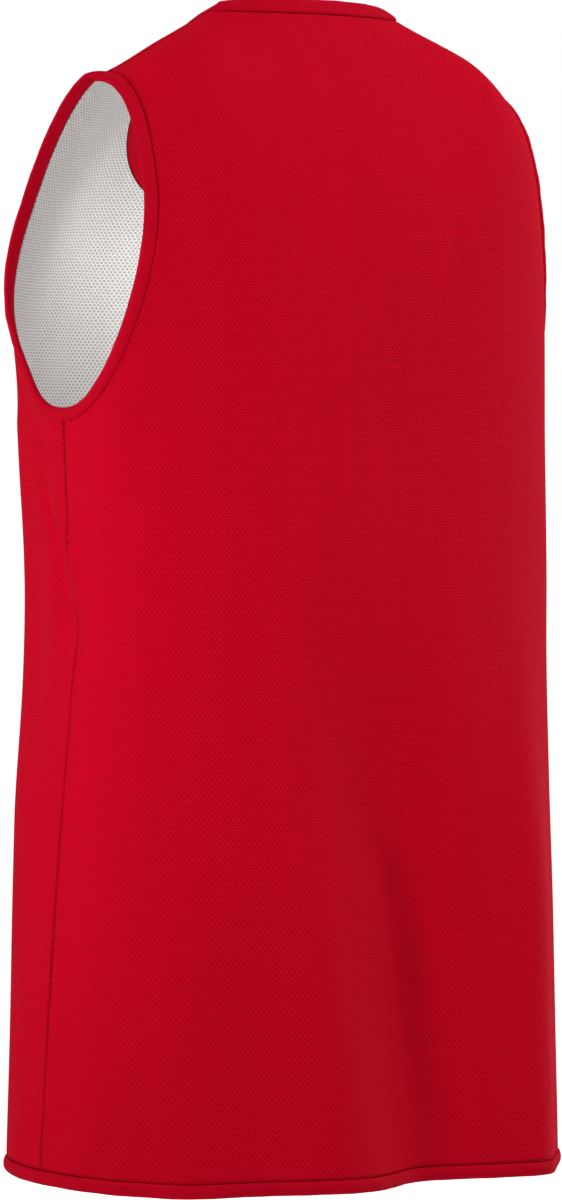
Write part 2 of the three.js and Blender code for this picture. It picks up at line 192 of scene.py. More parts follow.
def table_at(rows, z):
    """A table's columns at each height, on smooth curves through its rows."""
    z = np.asarray(z, float)
    i = np.searchsorted(-rows[1:-1, 0], -z, side="left")
    start, end = rows[i], rows[i + 1]
    before, after = rows[np.maximum(i - 1, 0)], rows[np.minimum(i + 2, len(rows) - 1)]
    t = np.clip((z - start[..., 0]) / (end[..., 0] - start[..., 0]), 0, 1)[..., None]
    slope_in, slope_out = (end - before) / 2, (after - start) / 2
    t2, t3 = t * t, t * t * t
    return (
        start * (2 * t3 - 3 * t2 + 1)
        + slope_in * (t3 - 2 * t2 + t)
        + end * (3 * t2 - 2 * t3)
        + slope_out * (t3 - t2)
    )


def section_point(section, angle):
    sine, cosine = np.sin(np.radians(angle)), np.cos(np.radians(angle))
    power = 2 / section[..., SQUARENESS]
    depth = np.where(cosine >= 0, section[..., BACK_DEPTH], section[..., FRONT_DEPTH])
    half_width = section[..., HALF_WIDTH]
    return half_width * signed_power(sine, power), depth * signed_power(cosine, power)


CHEST = table_at(SECTIONS, ARMPIT_Z)


def shoulder_line(x):
    across = np.abs(x)
    crown = CROWN_HEIGHT * (1 - (across / NECK_HALF_WIDTH) ** CROWN_POWER)
    droop = SHOULDER_DROOP * smoothstep(across, SHOULDER_MIDDLE_X, SHOULDER_TIP_X)
    slope = (NECK_HALF_WIDTH - across) * np.tan(np.radians(SHOULDER_SLOPE)) - droop
    outwards = smoothstep(across, NECK_HALF_WIDTH, SHOULDER_MIDDLE_X)
    behind = lerp(BEHIND_AT_NECK, BEHIND_AT_SHOULDER, outwards)
    fade = 1 - smoothstep(across, SHOULDER_MIDDLE_X, CHEST[HALF_WIDTH])
    return behind * fade, np.where(across < NECK_HALF_WIDTH, crown, slope)


def shoulder_point(angle, lift):
    share = np.sin(np.radians(lift))
    foot_x, foot_y = section_point(CHEST, angle)
    squareness = lerp(CHEST[SQUARENESS], UPPER_FRONT[0], smoothstep(share, 0, UPPER_FRONT[1]))
    inwards = np.maximum(1 - (np.abs(foot_x) / CHEST[HALF_WIDTH]) ** squareness, 0)
    foot_y = np.where(foot_y < 0, -CHEST[FRONT_DEPTH] * inwards ** (1 / squareness), foot_y)
    top_y, top_z = shoulder_line(foot_x)
    outwards = smoothstep(np.abs(foot_x), ARM_LEANING_X, SHOULDER_TIP_X)
    back = foot_y > 0
    arm_fullness = np.where(back, BACK_ARM_LEANING[0], FRONT_ARM_LEANING[0])
    arm_roundness = np.where(back, BACK_ARM_LEANING[1], FRONT_ARM_LEANING[1])
    fullness = lerp(MIDDLE_LEANING[0], arm_fullness, outwards)
    roundness = lerp(MIDDLE_LEANING[1], arm_roundness, outwards)
    out = np.maximum(1 - share**fullness, 0) ** (1 / roundness)
    return foot_x, lerp(top_y, foot_y, out), lerp(ARMPIT_Z, top_z, share)


def lift_at(angle, z):
    top_z = shoulder_line(section_point(CHEST, angle)[0])[1]
    return np.degrees(np.arcsin(np.clip((z - ARMPIT_Z) / (top_z - ARMPIT_Z), 0, 1)))


def fold_depth(fold, section, x, y, z):
    top_angle, top_z, end_angle, end_z, half_width, depth = fold[:6]
    grows, fades = fold[6:] or FOLD_FULL
    along = (z - top_z) / (end_z - top_z)
    mid_x, mid_y = section_point(section, lerp(top_angle, end_angle, along))
    across2 = ((mid_x - x) ** 2 + (mid_y - y) ** 2) / half_width**2
    fade = smoothstep(along, 0, grows) * (1 - smoothstep(along, fades, 1))
    return depth * fade * np.exp(-across2) * ((along > 0) & (along < 1))


SLOPE_STEP = 0.5  # degrees each way for a fold's direction
NORMAL_STEP = 0.4  # degrees or millimetres each way for the cloth's


def cloth_point(angle, level):
    """Points of the cloth, where a level is degrees over the armpits or millimetres under them."""
    angle, level = np.broadcast_arrays(np.asarray(angle, float), np.asarray(level, float))
    over = level > 90
    angle = np.where(over, 180 - angle, angle)
    level = np.where(over, 180 - level, level)
    section = table_at(SECTIONS, ARMPIT_Z + np.minimum(level, 0))
    x, y = section_point(section, angle)
    up_x, up_y, up_z = shoulder_point(angle, np.clip(level, 0, 90))
    above = level > 0
    x, y = np.where(above, up_x, x), np.where(above, up_y, y)
    z = np.where(above, up_z, ARMPIT_Z + level)
    depth = sum(fold_depth(fold, section, x, y, z) for fold in LARGE_FOLDS + SMALL_FOLDS)
    x1, y1 = section_point(section, angle + SLOPE_STEP)
    x0, y0 = section_point(section, angle - SLOPE_STEP)
    out_x, out_y = -(y1 - y0), x1 - x0
    length = np.hypot(out_x, out_y)
    return np.stack([x + out_x / length * depth, y + out_y / length * depth, z], -1)


def unit(vectors):
    return vectors / np.linalg.norm(vectors, axis=-1, keepdims=True)


def cloth_normal(angle, level):
    upwards = cloth_point(angle, level + NORMAL_STEP) - cloth_point(angle, level - NORMAL_STEP)
    around = cloth_point(angle + NORMAL_STEP, level) - cloth_point(angle - NORMAL_STEP, level)
    return unit(np.cross(upwards, around))


# ---------------------------------------------------------------- panels
def lengths_along(points):
    """The length of a path up to each of its points."""
    return np.concatenate([[0], np.cumsum(np.linalg.norm(np.diff(points, axis=0), axis=1))])


CHEST_ANGLES = np.linspace(-270, 270, 2161)
CHEST_ARC = lengths_along(np.stack(section_point(CHEST, CHEST_ANGLES), -1))


def chest_arc(angle):
    return np.interp(angle, CHEST_ANGLES, CHEST_ARC)


def even_offsets(middle, columns):
    """Angles from a panel's middle, at places that share the chest's half round evenly."""
    sweep = CHEST_ANGLES[(CHEST_ANGLES >= -90) & (CHEST_ANGLES <= 90)]
    arc = lengths_along(np.stack(section_point(CHEST, middle + sweep), -1))
    return np.interp(arc[-1] * columns / COLUMNS, arc, sweep)


def offset_at_x(x):
    sine = signed_power(x / CHEST[HALF_WIDTH], CHEST[SQUARENESS] / 2)
    return np.degrees(np.arcsin(np.clip(sine, -1, 1)))


def front_neck(share):
    turn, power = np.pi * share, 2 / FRONT_NECK_ROUNDNESS
    return (
        -NECK_HALF_WIDTH * signed_power(np.cos(turn), power),
        -FRONT_NECK_DROP * np.maximum(np.sin(turn), 0) ** power,
    )


def back_neck(share):
    return -NECK_HALF_WIDTH * np.cos(np.pi * share), np.zeros_like(share)


class Panel:
    """One panel's form: a grid of stations by row and column in the part's own counts."""

    def __init__(self, middle, armhole_half_width, neck):
        self.middle, self.half_width, self.neck = middle, armhole_half_width, neck
        self.is_back = middle == 0

    def armhole(self, row):
        """The armhole seam's offset and lift, at rows above the armpit."""
        tip, power = offset_at_x(SHOULDER_TIP_X), 2 / ARMHOLE_ROUNDNESS
        turn = np.pi / 2 * np.clip(row / ARMHOLE_CURVE_ROWS, 0, 1)
        offset = 90 - self.half_width * np.sin(turn) ** power
        z = lerp(ARMHOLE_WIDEST_Z, ARMPIT_Z, np.maximum(np.cos(turn), 0) ** power)
        lift = lift_at(self.middle + offset, z)
        share = np.clip((row - ARMHOLE_CURVE_ROWS) / ARMHOLE_TOP_ROWS, 0, 1)
        return lerp(offset, tip, share * share), lerp(lift, 90, share)

    def top(self, columns):
        """The shoulder and neck seams' offset and lift, at columns."""
        from_end = np.minimum(columns, COLUMNS - columns)
        shoulder = from_end <= SHOULDER_COLUMNS
        side = np.where(columns < COLUMNS / 2, -1, 1)
        shoulder_x = side * lerp(SHOULDER_TIP_X, NECK_HALF_WIDTH, from_end / SHOULDER_COLUMNS)
        share = (columns - SHOULDER_COLUMNS) / (COLUMNS - 2 * SHOULDER_COLUMNS)
        neck_x, neck_z = self.neck(np.clip(share, 0, 1))
        offset = offset_at_x(np.where(shoulder, shoulder_x, neck_x))
        return offset, np.where(shoulder, 90, lift_at(self.middle + offset, neck_z))

    def stations(self, rows, columns):
        """Angle and level of the cloth on a grid of rows and columns."""
        rows, columns = np.broadcast_arrays(np.asarray(rows, float), np.asarray(columns, float))
        offset = even_offsets(self.middle, columns)
        share = np.clip(rows / LOWER_ROWS, 0, 1)
        height = lerp(BACK_HEM_Z, ARMPIT_Z, share)
        section, seams = table_at(SECTIONS, height), table_at(SIDE_SEAMS, height)
        left, right = seams[..., 1], seams[..., 2]
        start = right if self.is_back else -left
        end = left if self.is_back else -right
        strays = np.where(offset < 0, start, end)
        part = np.abs(strays) / section[..., BACK_DEPTH]
        part = part ** (section[..., SQUARENESS] / 2)
        shrink = 1 - np.sign(strays) * np.degrees(np.arcsin(part)) / 90
        low_angle = self.middle + offset * shrink
        from_back = np.abs((low_angle + 180) % 360 - 180)
        hem = BACK_HEM_Z + FRONT_HEM_LIFT * smoothstep(from_back, *HEM_RISES)
        low_level = lerp(hem + HEM_BAND_WIDTH, ARMPIT_Z, share) - ARMPIT_Z

        rise = np.clip(rows - LOWER_ROWS, 0, UPPER_ROWS)
        share = rise / UPPER_ROWS
        end_offset, end_lift = self.armhole(rise)
        straight = lerp(90, offset_at_x(SHOULDER_TIP_X), share)
        top_offset, top_lift = self.top(columns)
        across = 2 * columns / COLUMNS - 1
        pull = np.abs(across) ** EDGE_PULL
        bend = np.sign(across) * (end_offset - straight) * pull
        up_angle = self.middle + lerp(offset, top_offset, share) + bend
        up_level = share * top_lift + (end_lift - 90 * share) * pull
        upper = rows > LOWER_ROWS
        return np.where(upper, up_angle, low_angle), np.where(upper, up_level, low_level)

    def form(self, rows, columns):
        angle, level = self.stations(rows, columns)
        return cloth_point(angle, level), cloth_normal(angle, level), angle, level


BACK = Panel(0, BACK_ARMHOLE_HALF_WIDTH, back_neck)
FRONT = Panel(180, FRONT_ARMHOLE_HALF_WIDTH, front_neck)

# Rows and columns of the finer grid, closer together by the seams
FINE = 8
EDGE_STEPS = np.array([0.02, 0.05, 0.08, 0.12])


def even_steps(count):
    return np.linspace(0, count, count * FINE + 1)


def sorted_steps(*steps):
    return np.unique(np.concatenate(steps).round(6))


def seamed_steps(count):
    return sorted_steps(even_steps(count), EDGE_STEPS, count - EDGE_STEPS)


FINE_COLUMNS = seamed_steps(COLUMNS)
FINE_ROWS = sorted_steps(even_steps(LOWER_ROWS), LOWER_ROWS + seamed_steps(UPPER_ROWS), EDGE_STEPS)

# The outer panels dip into a groove at their seams. Its depth and width are in millimetres, and
# so are the cloth's lengths to a column and to a row by the hem and by the shoulders.
SEAM_DIP, SEAM_DIP_WIDTH = 1.1, 3.0
COLUMN_LENGTH, HEM_ROW_LENGTH, SHOULDER_ROW_LENGTH = 27, 36, 20


def cloth_arc_up(angle, level, steps=24):
    """Length of cloth from the armpits' height up to each station, below zero under them."""
    lift = np.clip(np.where(level > 90, 180 - level, level), 0, 90)
    shares = np.linspace(0, 1, steps + 1)[:, None, None]
    _, y, z = shoulder_point(angle[None], lift[None] * shares)
    pieces = np.hypot(np.diff(y, axis=0), np.diff(z, axis=0))
    return np.where(level > 0, pieces.sum(0), level)


def new_object(name, verts, faces, uvs, material):
    """A mesh object in metres. uvs holds one pair a vertex, in metres of cloth."""
    mesh = bpy.data.meshes.new(name)
    mesh.from_pydata((np.asarray(verts) / 1000).tolist(), [], faces)
    layer = mesh.uv_layers.new(name="cloth")
    loops = np.empty(len(mesh.loops), int)
    mesh.loops.foreach_get("vertex_index", loops)
    layer.data.foreach_set("uv", (np.asarray(uvs)[loops] / 1000).ravel())
    mesh.materials.append(material)
    mesh.polygons.foreach_set("use_smooth", np.ones(len(mesh.polygons), bool))
    mesh.update()
    piece = bpy.data.objects.new(name, mesh)
    bpy.context.collection.objects.link(piece)
    return piece


def panel_shell(name, panel, cloth, material, seam_dip=0.0):
    """A closed shell of cloth over a panel's form. It may dip where it is seamed."""
    rows, columns = FINE_ROWS[:, None], FINE_COLUMNS[None]
    points, normals, angle, level = panel.form(rows, columns)
    back_off = SEAM_GAP / 2
    points[:, 0] += unit(points[:, 1] - points[:, 0]) * back_off
    points[:, -1] += unit(points[:, -2] - points[:, -1]) * back_off
    from_side = np.minimum(FINE_COLUMNS, COLUMNS - FINE_COLUMNS)
    on_shoulder = from_side <= SHOULDER_COLUMNS
    points[-1, on_shoulder] += (unit(points[-2] - points[-1]) * back_off)[on_shoulder]
    from_hem = FINE_ROWS * HEM_ROW_LENGTH
    from_top = (TOP_ROW - FINE_ROWS) * SHOULDER_ROW_LENGTH
    from_edge = np.minimum(from_side[None] * COLUMN_LENGTH, np.minimum(from_hem, from_top)[:, None])
    dip = seam_dip * (1 - smoothstep(from_edge, 0, SEAM_DIP_WIDTH))[..., None]
    outside = points + normals * (cloth[0] - dip)
    inside = points + normals * cloth[1]
    n_rows, n_columns = len(FINE_ROWS), len(FINE_COLUMNS)
    verts = np.concatenate([outside.reshape(-1, 3), inside.reshape(-1, 3)])
    uv = np.stack([chest_arc(angle - panel.middle), cloth_arc_up(angle, level)], -1)
    uv = uv.reshape(-1, 2)
    half = n_rows * n_columns
    index = np.arange(half).reshape(n_rows, n_columns)
    a, b, c, d = index[:-1, :-1], index[1:, :-1], index[1:, 1:], index[:-1, 1:]
    outer = np.stack([a, b, c, d], -1).reshape(-1, 4)
    faces = outer.tolist() + (outer[:, ::-1] + half).tolist()
    rim = np.concatenate([index[:-1, 0], index[-1, :-1], index[:0:-1, -1], index[0, :0:-1]])
    ends = np.roll(rim, -1)
    faces += np.stack([ends, rim, rim + half, ends + half], -1).tolist()
    return new_object(name, verts, faces, np.concatenate([uv, uv]), material)


# Wavelengths in millimetres and their shares, of a band's slow waves and of its small puckers
SLOW_WAVES = ((31, 1.0), (17, 0.6), (9, 0.35))
PUCKER_WAVES = ((6.5, 1.0), (4.3, 0.7))


def wander(length, along, seed, waves):
    """An uneven wave from -1 to 1 along a closed seam, the same on each run."""
    phases = np.random.default_rng(seed).uniform(0, 2 * np.pi, len(waves))
    total = np.zeros_like(along)
    for (wave, size), phase in zip(waves, phases):
        turns = max(round(length / wave), 1)
        total += size * np.sin(2 * np.pi * turns * along / length + phase)
    return total / sum(size for _, size in waves)


# A band's cross-section: share of the way from the seam to the free edge, millimetres added to
# that, and the height over the form. It is a strip folded round the edge: first its outer face,
# from a lip over the panel round the rolled free edge to the inside, and then its inner face.
BAND_SECTION = [
    (0, -0.6, -0.75), (0, -0.6, -0.1), (0, -0.3, 0.7), (0, 0.5, 1.35), (0, 1.9, 1.75),
    (0.35, 0.3, 1.9), (0.65, 0.0, 1.7), (1, -2.2, 1.25), (1, -1.1, 0.75), (1, -0.45, 0.1),
    (1, -0.08, -0.75), (1, 0.0, -1.5), (1, -0.15, -2.2), (1, -0.6, -2.8), (1, -1.4, -3.15),
    (0.65, 0.0, -3.2), (0.35, 0.0, -3.2), (0, 1.3, -3.2), (0, 0.5, -3.1), (0, 0.3, -2.85),
    (0, 0.45, -2.4), (0.35, 0.0, -2.4), (1, -1.7, -2.4), (1, -1.1, -2.0), (1, -0.9, -1.4),
    (1, -1.05, -0.75), (1, -1.7, -0.2), (0.35, 0.0, -0.05), (0, 1.2, -0.1), (0, 0.2, -0.12),
]


OUTER_FACE_OVER = -1.0  # heights over this are on a band's outer face
# Millimetres that the waves and puckers lift that face, and that the free edge strays
WAVE_LIFT, PUCKER_LIFT, EDGE_STRAY = 0.32, 0.1, 0.12
LEAST_LIFT = 0.25  # share of the lift that is left at a band's edges


def band_ring(name, points, normals, flare, width, material, seed):
    """A closed folded band round an opening, on its panels' edge. It flares out by degrees."""
    nxt, prev = np.roll(points, -1, 0), np.roll(points, 1, 0)
    along = unit(nxt - prev)
    away = unit(np.cross(normals, along))
    up = np.cross(along, away)
    cosine, sine = np.cos(np.radians(flare))[:, None], np.sin(np.radians(flare))[:, None]
    flared_away, flared_up = away * cosine + up * sine, up * cosine - away * sine
    steps = np.linalg.norm(nxt - points, axis=1)
    arc = np.concatenate([[0], np.cumsum(steps)])
    length = arc[-1]
    wave = wander(length, arc[:-1], seed, SLOW_WAVES)
    pucker = wander(length, arc[:-1], seed + 1, PUCKER_WAVES)
    rings = []
    for share, extra, height in BAND_SECTION:
        reach = SEAM_GAP + (width - SEAM_GAP) * share + extra
        middle = 4 * (reach / width) * (1 - reach / width)
        lifted = max(middle, LEAST_LIFT) * (height > OUTER_FACE_OVER)
        swell = (WAVE_LIFT * wave + PUCKER_LIFT * pucker * (1 - middle)) * lifted
        flared = min(max(reach, 0.0), 1.0)
        out, over = lerp(away, flared_away, flared), lerp(up, flared_up, flared)
        reach = reach + EDGE_STRAY * wave * (reach / width)
        rings.append(points + out * reach[:, None] + over * (height + swell)[:, None])
    section = np.stack(rings, 1)
    n, m = section.shape[:2]
    around = lengths_along(section[0])
    around = np.append(around, around[-1] + np.linalg.norm(section[0, 0] - section[0, -1]))
    # the ring and its section both close on themselves, so each has one more column for its UVs
    verts = section.reshape(-1, 3)
    faces, loop_uv = [], []
    for i in range(n):
        j = (i + 1) % n
        for k in range(m):
            l = (k + 1) % m
            faces.append((i * m + k, i * m + l, j * m + l, j * m + k))
            start, end, low, high = arc[i], arc[i + 1], around[k], around[k + 1]
            loop_uv += [(start, low), (start, high), (end, high), (end, low)]
    piece = new_object(name, verts, faces, np.zeros((len(verts), 2)), material)
    piece.data.uv_layers["cloth"].data.foreach_set("uv", (np.array(loop_uv) / 1000).ravel())
    return piece


def joined(parts, flare=0.0):
    """Points, normals and degrees of flare, of parts of an edge that follow each other."""
    points = np.concatenate([part[0] for part in parts])
    return points, np.concatenate([part[1] for part in parts]), np.zeros(len(points)) + flare


def armhole_edge(rising, falling):
    steps = LOWER_ROWS + even_steps(UPPER_ROWS)
    full_from, full_to = ARMHOLE_FLARE[1:]
    parts, flares = [], []
    for panel, rows, column in ((rising, steps[:-1], COLUMNS), (falling, steps[:0:-1], 0)):
        parts.append(panel.form(rows, column))
        share = (rows - LOWER_ROWS) / UPPER_ROWS
        full = smoothstep(share, 0, full_from) * (1 - smoothstep(share, full_to, 1))
        flares.append(np.zeros_like(share) if panel.is_back else ARMHOLE_FLARE[0] * full)
    return joined(parts, np.concatenate(flares))


def neck_edge():
    columns = SHOULDER_COLUMNS + even_steps(COLUMNS - 2 * SHOULDER_COLUMNS)
    return joined([panel.form(TOP_ROW, columns[:0:-1]) for panel in (BACK, FRONT)])


def hem_edge():
    columns = even_steps(COLUMNS)[:-1]
    return joined([panel.form(0, columns) for panel in (BACK, FRONT)])


NECK_EDGE = neck_edge()
LEFT_ARMHOLE_EDGE = armhole_edge(BACK, FRONT)
RIGHT_ARMHOLE_EDGE = armhole_edge(FRONT, BACK)
HEM_EDGE = hem_edge()


# ---------------------------------------------------------------- stitches
# A stitch's shares of its length and of its thickness, from end to end, and the sides round it
STITCH_PROFILE = [(-0.5, 0.0), (-0.36, 0.72), (0.0, 1.0), (0.36, 0.72), (0.5, 0.0)]
STITCH_SIDES = 6
STITCH_RISE = 0.35  # share of its height that its middle stands over the cloth
STITCH_SINK = 0.1  # millimetres

# Millimetres from stitch to stitch, and each one's length, width and height
SEAM_STITCH = (2.9, 2.3, 0.75, 0.5)
# the second sizes no stitch but the dark cord of painted seam shade, laid in long pieces end to end
SEAM_SHADE_CORD_SIZE = (4.5, 4.45, 0.9, 0.7)


def at_lengths(arc, rows, places):
    return np.stack([np.interp(places, arc, rows[:, k]) for k in range(3)], -1)


def stitch_row(path, normals, pitch, length, width, height):
    """Small rounded threads laid end to end on a path. Gives points, faces and UVs."""
    arc = lengths_along(path)
    places = np.arange(pitch / 2, arc[-1], pitch)
    middles, ups = at_lengths(arc, path, places), unit(at_lengths(arc, normals, places))
    ends, starts = (at_lengths(arc, path, places + half) for half in (length / 2, -length / 2))
    aheads = unit(ends - starts)
    sides = unit(np.cross(ups, aheads))
    turns = [np.radians(360 // STITCH_SIDES * k) for k in range(STITCH_SIDES)]
    ring_count = len(STITCH_PROFILE) - 2
    verts, faces, uvs = [], [], []
    for middle, ahead, side, up in zip(middles, aheads, sides, ups):
        first = len(verts)
        for share, size in STITCH_PROFILE:
            lift = up * (height * STITCH_RISE * size - STITCH_SINK)
            core = middle + ahead * share * length + lift
            if size == 0:
                verts.append(core - up * STITCH_SINK)
                uvs.append((share * length, 0))
                continue
            for turn in turns:
                beside_core = core + side * np.cos(turn) * width / 2 * size
                verts.append(beside_core + up * np.sin(turn) * height / 2 * size)
                uvs.append((share * length, np.degrees(turn) / 360))
        rings = [first + 1 + STITCH_SIDES * k for k in range(ring_count)]
        last = len(verts) - 1
        for k in range(STITCH_SIDES):
            n = (k + 1) % STITCH_SIDES
            faces.append((first, rings[0] + n, rings[0] + k))
            faces += [(r + k, r + n, q + n, q + k) for r, q in zip(rings, rings[1:])]
            faces.append((last, rings[-1] + k, rings[-1] + n))
    return verts, faces, uvs


def beside(points, normals, reach, height):
    """A closed path beside an edge, over its panels where reach is below zero."""
    along = unit(np.roll(points, -1, 0) - np.roll(points, 1, 0))
    path = points + unit(np.cross(normals, along)) * reach + normals * height
    return np.append(path, path[:1], 0), np.append(normals, normals[:1], 0)


def stitch_piece(name, rows, material):
    verts, faces, uvs = [], [], []
    for row_verts, row_faces, row_uvs in rows:
        faces += [tuple(i + len(verts) for i in face) for face in row_faces]
        verts += row_verts
        uvs += row_uvs
    return new_object(name, np.array(verts), faces, np.array(uvs), material)


# ---------------------------------------------------------------- materials
def node_group(name, inputs, outputs):
    group = bpy.data.node_groups.new(name, "ShaderNodeTree")
    for label, kind, value in inputs:
        socket = group.interface.new_socket(label, in_out="INPUT", socket_type=kind)
        if value is not None:
            socket.default_value = value
    for label, kind in outputs:
        group.interface.new_socket(label, in_out="OUTPUT", socket_type=kind)
    return group, group.nodes.new("NodeGroupInput"), group.nodes.new("NodeGroupOutput")


def add(tree, kind, **values):
    """A node with its properties and unlinked inputs set, and its linked inputs joined."""
    node = tree.nodes.new(kind)
    links = values.pop("links", {})
    sockets = values.pop("sockets", {})
    for key, value in values.items():
        setattr(node, key, value)
    for key, value in sockets.items():
        node.inputs[key].default_value = value
    for key, value in links.items():
        tree.links.new(value, node.inputs[key])
    return node


def maths(tree, operation, *parts):
    node = tree.nodes.new("ShaderNodeMath")
    node.operation = operation
    for i, part in enumerate(parts):
        if isinstance(part, (int, float)):
            node.inputs[i].default_value = part
        else:
            tree.links.new(part, node.inputs[i])
    return node.outputs[0]


def noise(tree, vector, scale, detail):
    sockets = {"Scale": scale, "Detail": detail}
    node = add(tree, "ShaderNodeTexNoise", sockets=sockets, links={"Vector": vector})
    return node.outputs["Fac"]


# The noises' scales, to a metre of cloth
STRAY_SCALE, MESH_YARN_SCALE = 90.0, 1500.0
PLAIN_YARN_SCALE, LUMP_SCALE, PLAIN_TONE_SCALE = 1300.0, 120.0, 25.0
STREAKS = (42.0, 5.0, 1.0)  # many across the cloth, and few up it

HOLE_TALLNESS = 0.85
HOLE_RIM = (0.45, 1.25)  # shares of a hole's size between which its rim rises
MESH_YARN_RELIEF = 0.35
LOOP_RELIEF, WALE_RELIEF, PLAIN_YARN_RELIEF, LUMP_RELIEF = 0.3, 0.25, 0.5, 2.0


def mesh_knit_group():
    """A knit with staggered rows of small oval holes. Gives the holes, a height and a tone."""
    group, source, sink = node_group(
        "mesh_knit",
        [
            ("Cloth", "NodeSocketVector", None),
            ("Across", "NodeSocketFloat", 0.0026),
            ("Up", "NodeSocketFloat", 0.0022),
            ("Hole", "NodeSocketFloat", 0.3),
            ("Unevenness", "NodeSocketFloat", 0.12),
        ],
        [("Holes", "NodeSocketFloat"), ("Height", "NodeSocketFloat"), ("Tone", "NodeSocketFloat")],
    )
    given = source.outputs
    cloth = given["Cloth"]
    split = add(group, "ShaderNodeSeparateXYZ", links={0: cloth})
    # the yarn strays a little, so no row of holes is quite straight
    stray = maths(group, "SUBTRACT", noise(group, cloth, STRAY_SCALE, 2.0), 0.5)
    off = maths(group, "MULTIPLY", stray, given["Unevenness"])
    u = maths(group, "ADD", maths(group, "DIVIDE", split.outputs[0], given["Across"]), off)
    v = maths(group, "ADD", maths(group, "DIVIDE", split.outputs[1], given["Up"]), off)
    # each second row of holes is moved by half the way to the next hole
    odd_row = maths(group, "FLOORED_MODULO", maths(group, "FLOOR", v), 2.0)
    moved = maths(group, "ADD", u, maths(group, "MULTIPLY", odd_row, 0.5))
    across = maths(group, "SUBTRACT", maths(group, "FRACT", moved), 0.5)
    up = maths(group, "SUBTRACT", maths(group, "FRACT", v), 0.5)
    up = maths(group, "MULTIPLY", up, HOLE_TALLNESS)
    wide, tall = (
        maths(group, "POWER", maths(group, "ABSOLUTE", part), 2.0) for part in (across, up)
    )
    from_middle = maths(group, "SQRT", maths(group, "ADD", wide, tall))
    rim_starts, rim_ends = (maths(group, "MULTIPLY", given["Hole"], part) for part in HOLE_RIM)
    rim = add(
        group, "ShaderNodeMapRange", interpolation_type="SMOOTHSTEP",
        links={"Value": from_middle, "From Min": rim_starts, "From Max": rim_ends},
        sockets={"To Min": 1.0, "To Max": 0.0},
    )
    holes = rim.outputs["Result"]
    # fine yarn loops between the holes
    yarn = maths(group, "SUBTRACT", noise(group, cloth, MESH_YARN_SCALE, 2.0), 0.5)
    fuzz = maths(group, "MULTIPLY", yarn, MESH_YARN_RELIEF)
    height = maths(group, "ADD", maths(group, "SUBTRACT", 1.0, holes), fuzz)
    # the tone changes in soft upright streaks, as the knitting machine leaves them
    drawn = add(group, "ShaderNodeVectorMath", operation="MULTIPLY", links={0: cloth})
    drawn.inputs[1].default_value = STREAKS
    group.links.new(holes, sink.inputs["Holes"])
    group.links.new(height, sink.inputs["Height"])
    group.links.new(noise(group, drawn.outputs[0], 1.0, 3.0), sink.inputs["Tone"])
    return group


def plain_knit_group():
    """A close plain knit: fine wales along the cloth with small loops in them."""
    group, source, sink = node_group(
        "plain_knit",
        [
            ("Cloth", "NodeSocketVector", None),
            ("Wale", "NodeSocketFloat", 0.0011),
            ("Course", "NodeSocketFloat", 0.0009),
        ],
        [("Height", "NodeSocketFloat"), ("Tone", "NodeSocketFloat")],
    )
    cloth = source.outputs["Cloth"]
    split = add(group, "ShaderNodeSeparateXYZ", links={0: cloth})

    def ripple(place, pitch):
        turns = maths(group, "DIVIDE", split.outputs[place], source.outputs[pitch])
        return maths(group, "SINE", maths(group, "MULTIPLY", turns, 2 * np.pi))

    wale, course = ripple(0, "Wale"), ripple(1, "Course")
    wale_height = maths(group, "MULTIPLY", wale, WALE_RELIEF)
    loops = maths(
        group, "MULTIPLY_ADD", maths(group, "MULTIPLY", wale, course), LOOP_RELIEF, wale_height
    )
    yarn = noise(group, cloth, PLAIN_YARN_SCALE, 3.0)
    yarn = maths(group, "MULTIPLY", yarn, PLAIN_YARN_RELIEF)
    lumps = maths(group, "MULTIPLY", noise(group, cloth, LUMP_SCALE, 2.0), LUMP_RELIEF)
    height = maths(group, "ADD", loops, maths(group, "ADD", yarn, lumps))
    group.links.new(height, sink.inputs["Height"])
    group.links.new(noise(group, cloth, PLAIN_TONE_SCALE, 3.0), sink.inputs["Tone"])
    return group


MESH_KNIT = mesh_knit_group()
PLAIN_KNIT = plain_knit_group()
MIX_FIRST, MIX_SECOND, MIX_COLOUR = 6, 7, 2  # a mix node's sockets for colours


def cloth_material(name, group, numbers, colours, hole_colour, finish, bump):
    """A cloth finish. colours are the two ends of its slow change of tone, and bump is the
    relief's strength and depth in metres."""
    material = bpy.data.materials.new(name)
    material.use_nodes = True
    tree = material.node_tree
    shader = tree.nodes["Principled BSDF"]
    uv = add(tree, "ShaderNodeUVMap", uv_map="cloth")
    knit = add(
        tree, "ShaderNodeGroup", node_tree=group, sockets=numbers, links={"Cloth": uv.outputs[0]}
    )
    tone = add(tree, "ShaderNodeMix", data_type="RGBA", links={0: knit.outputs["Tone"]})
    tone.inputs[MIX_FIRST].default_value = (*colours[0], 1)
    tone.inputs[MIX_SECOND].default_value = (*colours[1], 1)
    colour = tone.outputs[MIX_COLOUR]
    if hole_colour:
        links = {0: knit.outputs["Holes"], MIX_FIRST: colour}
        shade = add(tree, "ShaderNodeMix", data_type="RGBA", links=links)
        shade.inputs[MIX_SECOND].default_value = (*hole_colour, 1)
        colour = shade.outputs[MIX_COLOUR]
    tree.links.new(colour, shader.inputs["Base Color"])
    for key, value in finish.items():
        shader.inputs[key].default_value = value
    sockets = {"Strength": bump[0], "Distance": bump[1]}
    relief = add(tree, "ShaderNodeBump", sockets=sockets, links={"Height": knit.outputs["Height"]})
    tree.links.new(relief.outputs[0], shader.inputs["Normal"])
    return material


